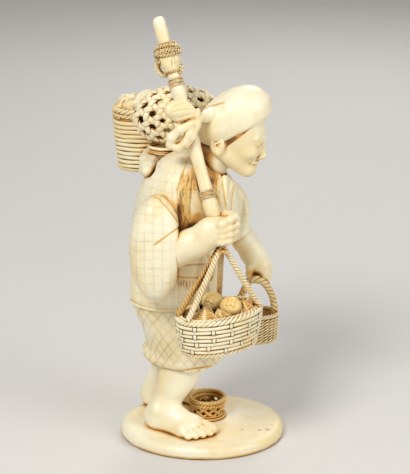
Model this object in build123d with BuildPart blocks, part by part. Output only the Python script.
"""Okimono carving of a fruit pedlar: a sectional ivory figure that stoops under a shoulder pole.

The figure is not one block. It is carved in sections that are pegged and glued, as such carvings are:
base, legs, lower robe, jacket, sleeves, hands, head, headcloth, pole, ropes and baskets. All lengths are in
millimetres. The origin is the middle of the base's underside, +Z is up, and the photographed side faces -Y.
"""
import os
from math import cos, pi, radians, sin

from build123d import *

os.makedirs("parts", exist_ok=True)

# Driving sizes: base and pegs
base_length = 84.0
base_width = 73.0
base_thickness = 6.2
base_edge = 1.4
peg_radius = 1.5
peg_length = 9.0
peg_clearance = 0.05
seat_clearance = 0.1
overrun = 1.0
flatness = 0.0000001

# Legs and feet
hem_height = 39.5
hem_recess = 2.5
hem_wall = 2.0
foot_length = 39.0
foot_width = 18.0
instep_height = 13.0
toe_height = 5.0
toe_slit = 0.6
toe_slit_reach = 20.0
toe_spread_share = 0.72
right_foot_turn = -33.0
left_foot_turn = 8.0
right_heel = (-28.2, -2.0)
left_heel = (-32.0, 21.4)
right_shin = (
    ((-21.5, -6.0, 10.0), 6.8, 6.4),
    ((-17.0, -5.5, 19.5), 7.6, 6.8),
    ((-12.6, -5.0, 30.0), 10.4, 8.0),
    ((-9.4, -4.2, 42.0), 11.6, 8.4),
)
left_shin = (
    ((-25.0, 21.4, 10.0), 6.4, 6.2),
    ((-24.0, 19.2, 20.0), 7.2, 6.4),
    ((-18.6, 14.4, 32.0), 7.4, 5.8),
    ((-13.2, 11.2, 42.0), 7.0, 5.2),
)

# Lower robe, jacket, vest and sash: level sections as centre, half length and half width
waist_height = 72.5
skirt_sections = (
    ((-8.0, 3.0, hem_height), 19.6, 19.0),
    ((-7.8, 2.4, 47.0), 20.2, 19.6),
    ((-10.6, 1.4, 60.0), 21.2, 18.6),
    ((-14.2, 0.5, 72.5), 21.4, 17.0),
)
torso_sections = (
    ((-14.2, 0.5, 72.5), 22.4, 18.0),
    ((-14.0, 0.5, 88.0), 22.0, 18.0),
    ((-11.5, 0.5, 104.0), 24.0, 18.6),
    ((-8.5, 0.5, 118.0), 25.5, 20.0),
    ((-7.0, 0.3, 131.0), 24.3, 21.4),
    ((-7.0, 0.0, 140.0), 19.0, 18.8),
    ((-7.3, 0.0, 147.0), 11.5, 12.0),
    ((-6.5, 0.0, 150.5), 6.0, 6.4),
)
sash_back = -12.0
sash_top = 97.0
vest_back = -12.0
vest_top = 136.0
panel_half_width = 13.0

# Sleeves: centre, half length and half height of upright sections, from the armhole outwards
armhole_side = 15.5
right_sleeve_sections = (
    ((-22.3, -15.5, 107.0), 12.4, 25.6),
    ((-22.3, -22.0, 107.0), 13.2, 27.0),
    ((-22.3, -28.0, 106.5), 11.8, 24.4),
    ((-22.3, -31.6, 106.0), 7.2, 15.6),
)
left_sleeve_sections = (
    ((5.6, 15.5, 113.0), 18.4, 19.4),
    ((5.6, 21.0, 113.0), 19.6, 20.4),
    ((5.6, 26.0, 112.5), 17.2, 17.8),
    ((5.6, 29.4, 112.0), 10.0, 10.4),
)
cuff_face = -11.2
mouth_gap = 0.8

# Forearms and fists: centre, half width across and half height
right_arm = (
    ((-15.0, -23.2, 106.0), 5.0, 7.0),
    ((-5.0, -25.4, 111.0), 5.0, 6.8),
    ((1.0, -26.4, 114.2), 6.0, 7.6),
    ((7.4, -27.0, 118.0), 7.6, 8.6),
    ((13.0, -27.2, 120.0), 7.0, 7.6),
    ((16.2, -27.4, 121.0), 4.6, 5.2),
)
left_arm = (
    ((18.6, 22.2, 102.6), 5.4, 5.6),
    ((25.6, 21.0, 91.4), 5.0, 5.2),
    ((29.0, 20.2, 85.0), 5.8, 5.6),
    ((30.2, 20.0, 79.2), 6.6, 5.8),
    ((30.4, 20.0, 73.8), 4.6, 4.4),
)

# Neck, head and headcloth
neck_low = (-2.0, 0.0, 131.0)
neck_high = (10.5, 0.0, 152.5)
neck_radius = 7.4
collar_centre = (3.4, 0.0, 140.6)
collar_tilt = 36.0
collar_length = 28.0
collar_width = 25.0
collar_band = 3.0
collar_height = 5.0
head_turn = -12.0
head_sections = (
    ((21.4, -2.4, 139.6), 5.0, 4.6),
    ((18.6, -1.4, 144.6), 10.6, 8.2),
    ((16.8, -0.8, 152.0), 15.2, 11.4),
    ((16.2, -0.6, 161.0), 16.8, 12.8),
    ((15.6, -0.4, 169.0), 16.2, 12.4),
    ((15.0, -0.2, 175.0), 12.6, 10.0),
    ((15.0, 0.0, 179.0), 6.0, 5.0),
)
nose_root = (31.6, -4.2, 159.0)
nose_tip = (33.6, -4.8, 151.5)
nose_radius = 2.0
ear_middle = (8.8, 0.0, 152.2)
ear_side = 11.4
ear_length = 6.8
ear_height = 10.0
ear_thickness = 3.0
brim_centre = (16.0, 0.0, 162.4)
brim_tilt = 30.0
cloth_sections = (
    ((2.6, 0.0, 0.0), 19.4, 13.8),
    ((2.0, 0.0, 6.0), 20.4, 14.8),
    ((2.6, 0.0, 11.4), 17.4, 13.4),
    ((3.6, 0.0, 15.4), 11.4, 9.0),
    ((4.2, 0.0, 17.4), 4.6, 4.0),
)
bow_knot = (
    ((3.6, -10.4, 170.6), 3.0, 3.4),
    ((-0.6, -13.6, 171.2), 3.4, 3.8),
    ((-3.4, -16.4, 171.6), 2.4, 2.8),
)
bow_upper = (
    ((-1.4, -14.6, 172.6), 1.8, 2.4),
    ((-7.0, -17.6, 175.4), 2.6, 5.2),
    ((-13.0, -18.0, 176.6), 2.6, 6.0),
    ((-17.0, -16.6, 176.0), 1.4, 3.2),
)
bow_lower = (
    ((-1.6, -15.2, 170.2), 1.8, 2.4),
    ((-5.6, -18.6, 165.4), 2.4, 4.2),
    ((-10.4, -19.6, 160.8), 2.4, 4.8),
    ((-14.0, -18.8, 157.6), 1.4, 2.8),
)

# Carrying pole and what is tied round it
pole_top = (-21.4, 4.5, 216.0)
pole_foot = (8.8, -27.0, 113.5)
pole_radius = 3.2
pole_end_edge = 1.0
knot_at = 13.0
knot_spans = (0.0, 3.5, 9.5, 15.0)
knot_radii = (4.4, 6.6, 6.2, 4.4)
middle_binding_at = 30.5
front_binding_at = 86.5
binding_radius = 4.4
binding_length = 5.0
loop_path = (
    (-19.0, -1.0, 198.0),
    (-21.6, -1.6, 194.0),
    (-20.4, -2.0, 189.6),
    (-16.6, -2.2, 189.0),
    (-15.4, -2.0, 192.0),
)
loop_radius = 1.3

# Front basket, its ropes and what lies in it
basket_centre = (8.5, -26.8, 58.2)
basket_length = 50.0
basket_width = 31.0
basket_height = 20.0
basket_turn = 38.0
basket_foot_share = 0.86
basket_rib = 0.45
basket_recess = 5.0
basket_rim_width = 3.2
bed_thickness = 3.0
rope_radius = 1.7
rope_apex = (9.6, -26.8, 110.0)
rope_angles = (196.0, 160.0, -38.0, 65.0)
rope_knob_height = 3.4
rope_knob_low = (3.2, 3.0)
rope_knob_high = (2.6, 2.4)
persimmon_radius = 5.4
persimmon_squash_share = 0.86
persimmon_sink = 1.2
front_persimmon = (14.0, -28.2)
rear_persimmon = (5.2, -21.4)
leaf_spans = (
    ((-7.5, -33.5), (2.5, -36.0)),
    ((-1.5, -28.0), (6.5, -34.0)),
    ((19.5, -24.5), (24.5, -16.5)),
)
leaf_height = 4.2
leaf_thickness = 1.4

# Basket in the left hand
small_centre = (27.2, 20.0, 43.4)
small_length = 25.6
small_width = 20.0
small_height = 15.8
small_foot_share = 0.94
small_wall = 1.8
small_floor = 3.0
handle_radius = 1.9
handle_path = (
    (38.0, 20.0, 54.0),
    (37.4, 20.0, 62.0),
    (34.6, 20.0, 70.0),
    (30.6, 20.0, 74.2),
    (25.2, 20.0, 71.0),
    (18.6, 20.0, 62.0),
    (16.6, 20.0, 54.0),
)

# Load on the back
globe_centre = (-12.2, 18.0, 164.0)
globe_length = 45.8
globe_width = 23.6
globe_height = 31.4
globe_turn = 12.0
globe_wall = 2.2
globe_hole = 3.0
globe_foot_centre = (-15.6, 16.8)
globe_foot_length = 22.0
globe_foot_width = 17.2
globe_foot_top_share = 0.8
globe_level_shares = (-0.98, -0.86, -0.56, -0.2, 0.16, 0.5, 0.8, 0.96)
globe_row_shares = (-0.56, -0.2, 0.16, 0.5)
pad_path = (
    ((-26.6, -4.4, 142.0), 3.6, 3.6),
    ((-26.4, 0.6, 141.6), 5.2, 4.8),
    ((-26.0, 12.0, 141.2), 5.6, 5.0),
    ((-26.0, 30.6, 141.0), 5.4, 4.8),
)
pad_top = 145.6
tub_centre = (-28.6, 40.2, 131.2)
tub_length = 35.6
tub_width = 26.8
tub_height = 33.0
tub_foot_share = 0.84
tub_recess = 5.0
tub_wall = 2.6
lump_radius = 7.4
lump_spots = ((-9.0, 1.0), (-1.0, -2.0), (7.0, 1.5), (0.0, 5.0))
lump_rise_shares = (0, 0.6, 1)
lump_length_shares = (1, 0.9, 0.4)
lump_width_shares = (0.9, 0.8, 0.36)
lump_foot_shares = (0.7, 0.6)

# Open basket standing on the base
bowl_centre = (2.8, 6.6)
bowl_radius = 10.4
bowl_height = 11.0
bowl_wall = 1.6
bowl_floor = 1.8
bowl_waist_share = 0.86
bowl_rim_height = 2.6
bowl_hole = 2.2
bowl_hole_rise_share = 0.46

# Counts
base_sides = 64
basket_sides = 24
limb_sides = 24
robe_sides = 36
rope_sides = 12
small_sides = 8
rope_overrun_share = 1.06
basket_courses = 7
small_courses = 6
tub_courses = 9
globe_holes_round = 12
bowl_holes_round = 12
toe_slits = 4
arm_sides = 14


def heading(turn):
    """The level direction that a turn, in degrees, points in."""
    return Vector(cos(radians(turn)), sin(radians(turn)), 0)


def level(point, turn=0.0):
    """A level plane at a point, with its x axis turned to a heading."""
    return Plane(origin=point, x_dir=heading(turn), z_dir=(0, 0, 1))


def ring_corners(half_length, half_width, sides):
    """The corners of a many-sided ring, one for each stake that a woven wall goes round."""
    return [
        (half_length * cos(2 * pi * side / sides), half_width * sin(2 * pi * side / sides))
        for side in range(sides)
    ]


def skinned(rings):
    """A form closed by flat faces between rings of corners, all rings with the same number of corners."""
    faces = [Face(Wire.make_polygon(rings[0][::-1])), Face(Wire.make_polygon(rings[-1]))]
    for low, high in zip(rings, rings[1:]):
        for index in range(len(low)):
            after = (index + 1) % len(low)
            corners = [low[index], low[after], high[after], high[index]]
            normal = (corners[1] - corners[0]).cross(corners[2] - corners[0]).normalized()
            if abs(normal.dot(corners[3] - corners[0])) < flatness:
                faces.append(Face(Wire.make_polygon(corners)))
            else:
                faces.append(Face(Wire.make_polygon(corners[:3])))
                faces.append(Face(Wire.make_polygon([corners[0], corners[2], corners[3]])))
    with BuildPart() as form:
        add(Solid(Shell(faces)))
    return form


def stacked(sections, turn=0.0, sides=basket_sides):
    """A form through level many-sided rings, each given as centre, half length and half width."""
    rings = []
    for centre, half_length, half_width in sections:
        corners = ring_corners(half_length, half_width, sides)
        rings.append([level(centre, turn).from_local_coords(spot) for spot in corners])
    return skinned(rings)


def limb(stations, sides=arm_sides, up=(0, 0, 1)):
    """A form square to a path, each station given as centre, half width across and half height."""
    points = [Vector(*centre) for centre, _, _ in stations]
    planes = []
    for index, middle in enumerate(points):
        along = (points[min(index + 1, len(points) - 1)] - points[max(index - 1, 0)]).normalized()
        planes.append(Plane(origin=middle, x_dir=along.cross(Vector(*up)).normalized(), z_dir=along))
    rings = []
    for plane, (_, half_across, half_high) in zip(planes, stations):
        corners = ring_corners(half_across, half_high, sides)
        rings.append([plane.from_local_coords(spot) for spot in corners])
    return skinned(rings)


def peg(centre, direction, length, radius=peg_radius):
    """A round peg, given by its middle, its direction and its length."""
    along = Vector(*direction).normalized()
    with BuildPart() as pin:
        with BuildSketch(Plane(origin=Vector(*centre) - along * (length / 2), z_dir=along)):
            Circle(radius)
        extrude(amount=length)
    return pin


def socket_cutter(centre, direction, length):
    """What drills the hole that a peg fits in, with its clearance all round and at both ends."""
    return peg(centre, direction, length + 2 * peg_clearance, peg_radius + peg_clearance)


def drilled(form, cutters):
    """The form with other forms taken out of it, and its largest solid kept."""
    with BuildPart() as made:
        add(form.part)
        add([cutter.part for cutter in cutters], mode=Mode.SUBTRACT)
    with BuildPart() as kept:
        add(made.part.solids().sort_by(SortBy.VOLUME)[-1])
    return kept


def write(form, name):
    """Labels a finished piece and writes its STEP file."""
    form.part.label = name
    export_step(form.part, f"parts/{name}.step")


def between(first, second, distance):
    """The point at a distance from the first point toward the second."""
    start = Vector(*first)
    return start + (Vector(*second) - start).normalized() * distance


def moved(point, shift):
    """A point moved by a shift, both given as three lengths."""
    return tuple(a + b for a, b in zip(point, shift))


def woven(centre, half_length, half_width, height, foot_share, courses, rib, turn=0.0):
    """A basket body whose outer wall steps in and out by one rib for each course of weaving."""
    steps = 2 * courses
    sections = []
    for step in range(steps + 1):
        share = foot_share + (1 - foot_share) * sin(pi / 2 * step / steps)
        inset = rib if step % 2 == 0 else 0
        middle = moved(centre, (0, 0, height * step / steps))
        sections.append((middle, half_length * share - inset, half_width * share - inset))
    return stacked(sections, turn, basket_sides)


def foot(heel, turn):
    """A bare foot from its heel point along a heading, flat underneath, with slits between its toes."""
    along = heading(turn)
    across = Vector(0, 0, 1).cross(along)
    half = foot_width / 2
    length_shares = (0, 0.12, 0.34, 0.62, 0.86, 1)
    width_shares = (0.4, 0.7, 0.76, 0.94, 1, 0.66)
    height_shares = (0.5, 0.9, 1, 0.74, 0.46, 0.3)
    side_shares = ((1, 0), (0.94, 0.56), (0.5, 0.94), (-0.5, 0.94), (-0.94, 0.56), (-1, 0))
    rings = []
    for reach, width, rise in zip(length_shares, width_shares, height_shares):
        origin = Vector(heel[0], heel[1], base_thickness) + along * (foot_length * reach)
        rings.append(
            [
                origin + across * (half * width * side) + Vector(0, 0, instep_height * rise * lift)
                for side, lift in side_shares
            ]
        )
    body = skinned(rings)
    slits = []
    for slit in range(toe_slits):
        offset = foot_width * toe_spread_share * ((slit + 1) / (toe_slits + 1) - 1 / 2)
        origin = Vector(heel[0], heel[1], base_thickness) + along * foot_length + across * offset
        with BuildPart() as cut:
            with BuildSketch(Plane(origin=origin, x_dir=across, z_dir=along)):
                Rectangle(toe_slit, toe_slit_reach)
            extrude(amount=toe_height, both=True)
        slits.append(cut)
    return drilled(body, slits)


def joined(*forms):
    """Forms that are carved as one, fused to a single solid."""
    with BuildPart() as whole:
        add([form.part for form in forms])
    return whole


def block(low, high):
    """A box between two corners."""
    with BuildPart() as box:
        with BuildSketch(Plane(origin=(0, 0, low[2]))):
            with Locations(((low[0] + high[0]) / 2, (low[1] + high[1]) / 2)):
                Rectangle(high[0] - low[0], high[1] - low[1])
        extrude(amount=high[2] - low[2])
    return box


def overlap(form, other):
    """What two forms have in common."""
    with BuildPart() as common:
        add(form.part)
        add(other.part, mode=Mode.INTERSECT)
    return common


def wider(stations, gap):
    """The same stations with a gap added to both half sizes."""
    return tuple((centre, first + gap, second + gap) for centre, first, second in stations)


# Base
base_levels = ((0, base_edge), (base_edge, 0), (base_thickness - base_edge, 0), (base_thickness, base_edge))
base_body = stacked(
    [((0, 0, height), base_length / 2 - inset, base_width / 2 - inset) for height, inset in base_levels],
    sides=base_sides,
)

right_peg_at = (right_shin[0][0][0], right_shin[0][0][1], base_thickness)
left_peg_at = (left_shin[0][0][0], left_shin[0][0][1], base_thickness)
bowl_peg_at = (bowl_centre[0], bowl_centre[1], base_thickness - overrun)
short_peg = bowl_floor + overrun
up = (0, 0, 1)
base = drilled(
    base_body,
    [
        socket_cutter(right_peg_at, up, peg_length),
        socket_cutter(left_peg_at, up, peg_length),
        socket_cutter(bowl_peg_at, up, short_peg),
    ],
)
write(base, "base")
write(peg(right_peg_at, up, peg_length), "right_foot_peg")
write(peg(left_peg_at, up, peg_length), "left_foot_peg")
write(peg(bowl_peg_at, up, short_peg), "base_basket_peg")

# Legs, each with its foot, and the lower robe that they go up into
waist_peg_at = (torso_sections[0][0][0], torso_sections[0][0][1], waist_height)
right_leg = drilled(
    joined(stacked(right_shin, sides=limb_sides), foot(right_heel, right_foot_turn)),
    [socket_cutter(right_peg_at, up, peg_length)],
)
left_leg = drilled(
    joined(stacked(left_shin, sides=limb_sides), foot(left_heel, left_foot_turn)),
    [socket_cutter(left_peg_at, up, peg_length)],
)
hem_centre, hem_half_length, hem_half_width = skirt_sections[0]
hem_hollow_length = hem_half_length - hem_wall
hem_hollow_width = hem_half_width - hem_wall
hem_hollow = stacked(
    [
        (moved(hem_centre, (0, 0, -overrun)), hem_hollow_length, hem_hollow_width),
        (moved(hem_centre, (0, 0, hem_recess)), hem_hollow_length, hem_hollow_width),
    ],
    sides=robe_sides,
)
skirt = stacked(skirt_sections, sides=robe_sides)
lower_robe = drilled(skirt, [hem_hollow, socket_cutter(waist_peg_at, up, peg_length)])
write(right_leg, "right_leg")
write(left_leg, "left_leg")
write(lower_robe, "lower_robe")
write(peg(waist_peg_at, up, peg_length), "waist_peg")

# Pole, with rounded ends, and what it presses into
pole_line = Vector(*pole_foot) - Vector(*pole_top)
with BuildPart() as carrying_pole:
    with BuildSketch(Plane(origin=pole_top, z_dir=pole_line)):
        Circle(pole_radius)
    extrude(amount=pole_line.length)
    chamfer(carrying_pole.edges().filter_by(GeomType.CIRCLE), pole_end_edge)
with BuildPart() as pole_room:
    with BuildSketch(Plane(origin=pole_top, z_dir=pole_line)):
        Circle(pole_radius + seat_clearance)
    extrude(amount=pole_line.length + seat_clearance)
write(carrying_pole, "carrying_pole")


def round_the_pole(distances, radii):
    """A round form threaded on the pole, given as distances from its top and radii."""
    stations = []
    for distance, radius in zip(distances, radii):
        stations.append((between(pole_top, pole_foot, distance), radius, radius))
    return limb(stations, rope_sides)


knot_distances = [knot_at + span for span in knot_spans]
knot_loop = limb([(spot, loop_radius, loop_radius) for spot in loop_path], small_sides, up=(0, 1, 0))
rear_rope_knot = drilled(joined(round_the_pole(knot_distances, knot_radii), knot_loop), [pole_room])
write(rear_rope_knot, "rear_rope_knot")
binding_shares = (0, 0.25, 0.75, 1)
binding_steps = (0.9, 1, 1, 0.9)
for binding_name, binding_at in (
    ("middle_rope_binding", middle_binding_at),
    ("front_rope_binding", front_binding_at),
):
    binding = round_the_pole(
        [binding_at + binding_length * share for share in binding_shares],
        [binding_radius * step for step in binding_steps],
    )
    write(drilled(binding, [pole_room]), binding_name)

# Neck and collar
neck_axis = Vector(*neck_high) - Vector(*neck_low)
with BuildPart() as neck_body:
    with BuildSketch(Plane(origin=neck_low, z_dir=neck_axis)):
        Circle(neck_radius)
    extrude(amount=neck_axis.length)
neck_peg_at = neck_high
neck = drilled(neck_body, [socket_cutter(neck_peg_at, neck_axis, peg_length)])
write(neck, "neck")
write(peg(neck_peg_at, neck_axis, peg_length), "neck_peg")

collar_plane = Plane(
    origin=collar_centre,
    x_dir=(cos(radians(collar_tilt)), 0, -sin(radians(collar_tilt))),
    z_dir=(sin(radians(collar_tilt)), 0, cos(radians(collar_tilt))),
)
with BuildPart() as collar_body:
    with BuildSketch(collar_plane):
        Polygon(*ring_corners(collar_length / 2, collar_width / 2, limb_sides), align=None)
        Polygon(
            *ring_corners(collar_length / 2 - collar_band, collar_width / 2 - collar_band, limb_sides),
            align=None,
            mode=Mode.SUBTRACT,
        )
    extrude(amount=collar_height / 2, both=True)
collar = drilled(collar_body, [neck_body, pole_room])
write(collar, "collar")

# Torso: one form split into jacket, vest and sash
torso = stacked(torso_sections, sides=robe_sides)
reach = base_length
sash_room = block((sash_back, -reach, waist_height + overrun), (reach, reach, sash_top))
vest_room = block((vest_back, -reach, sash_top), (reach, panel_half_width, vest_top))
right_sleeve_body = limb(right_sleeve_sections, limb_sides)
left_sleeve_body = limb(left_sleeve_sections, limb_sides)
pad_room = limb(wider(pad_path, seat_clearance))
foot_room = stacked(
    [
        ((*globe_foot_centre, pad_top), globe_foot_length / 2 + overrun, globe_foot_width / 2 + overrun),
        ((*globe_foot_centre, pad_top + globe_height), globe_length, globe_length),
    ],
    globe_turn,
    basket_sides,
)
binding_room = round_the_pole(
    [front_binding_at - seat_clearance, front_binding_at + binding_length + seat_clearance],
    [binding_radius + seat_clearance, binding_radius + seat_clearance],
)
torso_cutters = [
    right_sleeve_body,
    left_sleeve_body,
    neck_body,
    collar_body,
    pole_room,
    binding_room,
    pad_room,
    foot_room,
]
jacket = drilled(torso, torso_cutters + [sash_room, vest_room, socket_cutter(waist_peg_at, up, peg_length)])
sash = drilled(overlap(torso, sash_room), torso_cutters)
vest = drilled(overlap(torso, vest_room), torso_cutters)
write(jacket, "jacket")
write(sash, "sash")
write(vest, "vest")

# Forearms with their fists, sleeves with their mouths, and wrist pegs
right_start = Vector(*right_arm[0][0])
right_line = (Vector(*right_arm[1][0]) - right_start).normalized()
left_start = Vector(*left_arm[0][0])
left_line = (Vector(*left_arm[1][0]) - left_start).normalized()
right_mouth = limb(
    [
        (right_start, right_arm[0][1] + mouth_gap, right_arm[0][2] + mouth_gap),
        (Vector(*right_arm[1][0]), right_arm[1][1] + mouth_gap, right_arm[1][2] + mouth_gap),
    ]
)
left_mouth = limb(
    [
        (left_start, left_arm[0][1] + mouth_gap, left_arm[0][2] + mouth_gap),
        (Vector(*left_arm[1][0]), left_arm[1][1] + mouth_gap, left_arm[1][2] + mouth_gap),
    ],
    up=(0, 1, 0),
)
cuff_room = block((cuff_face, -reach, 0), (reach, -armhole_side + overrun, 3 * reach))
right_wrist = socket_cutter(right_start, right_line, peg_length)
left_wrist = socket_cutter(left_start, left_line, peg_length)
right_sleeve = drilled(right_sleeve_body, [right_mouth, cuff_room, right_wrist])
left_sleeve = drilled(left_sleeve_body, [left_mouth, left_wrist, pad_room])
write(right_sleeve, "right_sleeve")
write(left_sleeve, "left_sleeve")
write(peg(right_start, right_line, peg_length), "right_wrist_peg")
write(peg(left_start, left_line, peg_length), "left_wrist_peg")

# Ropes of the front basket
basket_half_length = basket_length / 2
basket_half_width = basket_width / 2
basket_top = basket_centre[2] + basket_height


def on_basket(x, y, z=0.0):
    """A point of the front basket, from its own length and width directions and a height over its rim."""
    along = heading(basket_turn)
    across = heading(basket_turn + 90)
    spot = Vector(basket_centre[0], basket_centre[1], basket_top + z) + along * x + across * y
    return (spot.X, spot.Y, spot.Z)


ropes = []
for angle in rope_angles:
    rim_spot = on_basket(
        (basket_half_length - basket_rim_width / 2) * cos(radians(angle)),
        (basket_half_width - basket_rim_width / 2) * sin(radians(angle)),
    )
    rope_end = Vector(*rope_apex) + (Vector(*rim_spot) - Vector(*rope_apex)) * rope_overrun_share
    rope_stations = [(spot, rope_radius, rope_radius) for spot in (rope_apex, rope_end)]
    ropes.append(limb(rope_stations, small_sides))
rope_knob = stacked(
    [
        (moved(rope_apex, (0, 0, -rope_knob_height)), *rope_knob_low),
        (moved(rope_apex, (0, 0, rope_knob_height / 2)), *rope_knob_high),
    ],
    sides=small_sides,
)
below_rim = block((-reach, -reach, 0), (reach, reach, basket_top))
front_basket_ropes = drilled(joined(rope_knob, *ropes), [below_rim])
right_hand = drilled(limb(right_arm), [pole_room, front_basket_ropes, right_wrist])
write(front_basket_ropes, "front_basket_ropes")
write(right_hand, "right_hand")

# Front basket, its bed of leaves and its persimmons
basket_body = woven(
    basket_centre,
    basket_half_length,
    basket_half_width,
    basket_height,
    basket_foot_share,
    basket_courses,
    basket_rib,
    basket_turn,
)


def basket_well(low, high):
    """A many-sided form inside the front basket's rim, between two depths under the rim."""
    half_length = basket_half_length - basket_rim_width
    half_width = basket_half_width - basket_rim_width
    return stacked(
        [
            (moved(basket_centre, (0, 0, basket_height - low)), half_length, half_width),
            (moved(basket_centre, (0, 0, basket_height - high)), half_length, half_width),
        ],
        basket_turn,
        basket_sides,
    )


front_basket = drilled(basket_body, [basket_well(basket_recess, -overrun)])
write(front_basket, "front_basket")

bed_top = basket_top - basket_recess + bed_thickness


def persimmon(spot):
    """A squat persimmon that sinks a little into the bed of leaves."""
    half_height = persimmon_radius * persimmon_squash_share
    middle = bed_top - persimmon_sink + half_height
    round_shares = (0.42, 0.86, 1, 0.86, 0.42)
    rise_shares = (-0.92, -0.54, 0, 0.54, 0.92)
    sections = []
    for size, rise in zip(round_shares, rise_shares):
        radius = persimmon_radius * size
        sections.append(((spot[0], spot[1], middle + half_height * rise), radius, radius))
    return stacked(sections, sides=basket_sides // 2)


leaf_blades = []
for leaf_start, leaf_end in leaf_spans:
    first, second = Vector(*leaf_start, bed_top), Vector(*leaf_end, bed_top)
    leaf_line = second - first
    with BuildPart() as blade:
        with BuildSketch(Plane(origin=first, x_dir=leaf_line, z_dir=leaf_line.cross(Vector(0, 0, 1)))):
            Polygon(
                (0, -overrun),
                (leaf_line.length, -overrun),
                (leaf_line.length / 2, leaf_height),
                align=None,
            )
        extrude(amount=leaf_thickness / 2, both=True)
    leaf_blades.append(blade)
front_fruit = persimmon(front_persimmon)
rear_fruit = persimmon(rear_persimmon)
leaf_bed = basket_well(basket_recess, basket_recess - bed_thickness)
basket_leaves = drilled(joined(leaf_bed, *leaf_blades), [front_fruit, rear_fruit, front_basket_ropes])
write(front_fruit, "front_persimmon")
write(rear_fruit, "rear_persimmon")
write(basket_leaves, "basket_leaves")

# Left hand with its basket and handle
small_body = woven(
    small_centre,
    small_length / 2,
    small_width / 2,
    small_height,
    small_foot_share,
    small_courses,
    basket_rib,
)
small_hollow = stacked(
    [
        (
            moved(small_centre, (0, 0, small_floor)),
            small_length / 2 * small_foot_share - small_wall,
            small_width / 2 * small_foot_share - small_wall,
        ),
        (
            moved(small_centre, (0, 0, small_height + overrun)),
            small_length / 2 - small_wall,
            small_width / 2 - small_wall,
        ),
    ],
    sides=basket_sides,
)
handle_stations = [(spot, handle_radius, handle_radius) for spot in handle_path]
hand_basket_handle = limb(handle_stations, small_sides, up=(0, 1, 0))
handle_room = limb(wider(handle_stations, seat_clearance), small_sides, up=(0, 1, 0))
hand_basket = drilled(small_body, [small_hollow, handle_room])
left_hand = drilled(limb(left_arm, up=(0, 1, 0)), [handle_room, left_wrist])
write(hand_basket, "hand_basket")
write(hand_basket_handle, "hand_basket_handle")
write(left_hand, "left_hand")

# Head and headcloth
head_body = stacked(head_sections, head_turn, limb_sides)
nose = limb([(nose_root, nose_radius, nose_radius / 2), (nose_tip, nose_radius, nose_radius)], small_sides)
ears = []
for side in (-1, 1):
    with BuildPart() as ear:
        with BuildSketch(Plane(origin=(ear_middle[0], side * ear_side, ear_middle[2]), z_dir=(0, side, 0))):
            Polygon(*ring_corners(ear_length / 2, ear_height / 2, rope_sides), align=None)
        extrude(amount=ear_thickness / 2, both=True)
    ears.append(ear)
neck_socket = socket_cutter(neck_peg_at, neck_axis, peg_length)
head = drilled(joined(head_body, nose, *ears), [neck_body, neck_socket])
write(head, "head")

brim_plane = Plane(
    origin=brim_centre,
    x_dir=(cos(radians(brim_tilt)), 0, sin(radians(brim_tilt))),
    z_dir=(-sin(radians(brim_tilt)), 0, cos(radians(brim_tilt))),
)
cloth_body = skinned(
    [
        [
            brim_plane.from_local_coords(moved(cloth_centre, (*spot, 0)))
            for spot in ring_corners(cloth_half_length, cloth_half_width, limb_sides)
        ]
        for cloth_centre, cloth_half_length, cloth_half_width in cloth_sections
    ]
)
bow = joined(limb(bow_knot, rope_sides), limb(bow_upper, rope_sides), limb(bow_lower, rope_sides))
headcloth = drilled(cloth_body, [head_body, *ears])
write(headcloth, "headcloth")
write(drilled(bow, [cloth_body, pole_room]), "headcloth_bow")

# Load on the back: pad, globe basket and tub basket
above_pad = block((-reach, -reach, pad_top), (reach, reach, 3 * reach))
tub_body = woven(
    tub_centre,
    tub_length / 2,
    tub_width / 2,
    tub_height,
    tub_foot_share,
    tub_courses,
    basket_rib,
)
load_pad = drilled(limb(pad_path), [above_pad, tub_body])


def globe_sections(shrink, levels):
    """Level sections of the globe, its surface drawn in by a wall thickness."""
    half_length = globe_length / 2 - shrink
    half_width = globe_width / 2 - shrink
    half_height = globe_height / 2 - shrink
    made = []
    for rise in levels:
        share = (1 - rise * rise) ** 0.5
        middle = moved(globe_centre, (0, 0, half_height * rise))
        made.append((middle, half_length * share, half_width * share))
    return made


globe_body = stacked(globe_sections(0, globe_level_shares), globe_turn, basket_sides)
globe_inside = stacked(globe_sections(globe_wall, globe_level_shares[1:-1]), globe_turn, basket_sides)
foot_top = globe_centre[2] + globe_height / 2 * globe_level_shares[1]
foot_top_length = globe_foot_length * globe_foot_top_share
foot_top_width = globe_foot_width * globe_foot_top_share
globe_foot = stacked(
    [
        ((*globe_foot_centre, pad_top), globe_foot_length / 2, globe_foot_width / 2),
        ((*globe_foot_centre, foot_top), foot_top_length / 2, foot_top_width / 2),
    ],
    globe_turn,
    basket_sides,
)
globe_cutters = [globe_inside]
for row, rise in enumerate(globe_row_shares):
    share = (1 - rise * rise) ** 0.5
    for step in range(globe_holes_round):
        angle = 2 * pi * (step + 0.5 * (row % 2)) / globe_holes_round
        outward = (
            heading(globe_turn) * (globe_length / 2 * share * cos(angle))
            + heading(globe_turn + 90) * (globe_width / 2 * share * sin(angle))
            + Vector(0, 0, globe_height / 2 * rise)
        )
        origin = Vector(*globe_centre) + outward
        with BuildPart() as hole:
            with BuildSketch(Plane(origin=origin, z_dir=outward)):
                RegularPolygon(globe_hole / 2, 6)
            extrude(amount=globe_wall + overrun, both=True)
        globe_cutters.append(hole)
globe_basket = drilled(joined(globe_body, globe_foot), globe_cutters)
write(globe_basket, "globe_basket")

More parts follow.
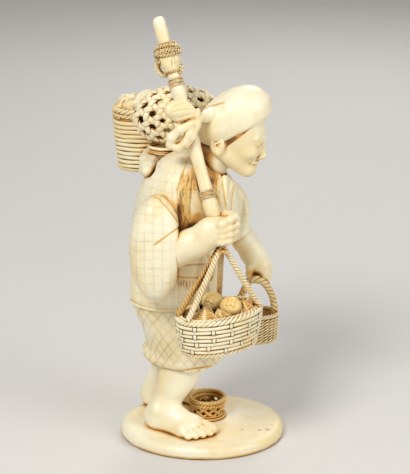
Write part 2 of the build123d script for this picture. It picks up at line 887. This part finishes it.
tub_hollow = stacked(
    [
        (
            moved(tub_centre, (0, 0, tub_height - tub_recess)),
            tub_length / 2 - tub_wall,
            tub_width / 2 - tub_wall,
        ),
        (
            moved(tub_centre, (0, 0, tub_height + overrun)),
            tub_length / 2 - tub_wall,
            tub_width / 2 - tub_wall,
        ),
    ],
    sides=basket_sides,
)
tub_peg_at = (pad_path[-1][0][0], pad_path[-1][0][1] - overrun, pad_path[-1][0][2])
tub_socket = socket_cutter(tub_peg_at, (0, 1, 0), peg_length)
lumps = []
for spot in lump_spots:
    lump_middle = moved(tub_centre, (spot[0], spot[1], tub_height))
    lump_foot = moved(lump_middle, (0, 0, -tub_recess))
    lump_sections = [(lump_foot, *(lump_radius * share for share in lump_foot_shares))]
    for rise, long, wide in zip(lump_rise_shares, lump_length_shares, lump_width_shares):
        middle = moved(lump_middle, (0, 0, lump_radius * rise))
        lump_sections.append((middle, lump_radius * long, lump_radius * wide))
    lumps.append(stacked(lump_sections, sides=basket_sides // 2))
tub_bed = stacked(
    [
        (
            moved(tub_centre, (0, 0, tub_height - tub_recess)),
            tub_length / 2 - tub_wall,
            tub_width / 2 - tub_wall,
        ),
        (
            moved(tub_centre, (0, 0, tub_height)),
            tub_length / 2 - tub_wall,
            tub_width / 2 - tub_wall,
        ),
    ],
    sides=basket_sides,
)
tub_basket = drilled(tub_body, [tub_hollow, tub_socket])
tub_load = drilled(joined(tub_bed, *lumps), [tub_basket, globe_body])
write(tub_basket, "tub_basket")
write(tub_load, "tub_load")
write(peg(tub_peg_at, (0, 1, 0), peg_length), "tub_peg")
load_pad = drilled(load_pad, [tub_socket])
write(load_pad, "load_pad")

# Open basket on the base
bowl_level_shares = (
    (0, 0.94),
    (0.12, bowl_waist_share),
    (0.5, 0.9),
    (1 - bowl_rim_height / bowl_height, 1),
    (1, 1),
)
bowl_outer = []
for rise, share in bowl_level_shares:
    middle = (*bowl_centre, base_thickness + bowl_height * rise)
    bowl_outer.append((middle, bowl_radius * share, bowl_radius * share))
bowl_body = stacked(bowl_outer, sides=basket_sides)
bowl_inside = stacked(
    [
        (
            (bowl_centre[0], bowl_centre[1], base_thickness + bowl_floor),
            bowl_radius * bowl_waist_share - bowl_wall,
            bowl_radius * bowl_waist_share - bowl_wall,
        ),
        (
            (bowl_centre[0], bowl_centre[1], base_thickness + bowl_height + overrun),
            bowl_radius - bowl_wall,
            bowl_radius - bowl_wall,
        ),
    ],
    sides=basket_sides,
)
bowl_cutters = [bowl_inside, socket_cutter(bowl_peg_at, up, short_peg)]
for step in range(bowl_holes_round):
    angle = 2 * pi * (step + 0.5) / bowl_holes_round
    outward = Vector(cos(angle), sin(angle), 0)
    hole_height = base_thickness + bowl_height * bowl_hole_rise_share
    origin = Vector(*bowl_centre, hole_height) + outward * bowl_radius
    with BuildPart() as hole:
        with BuildSketch(Plane(origin=origin, z_dir=outward)):
            RegularPolygon(bowl_hole / 2, 6)
        extrude(amount=2 * bowl_wall + overrun, both=True)
    bowl_cutters.append(hole)
base_basket = drilled(bowl_body, bowl_cutters)
write(base_basket, "base_basket")
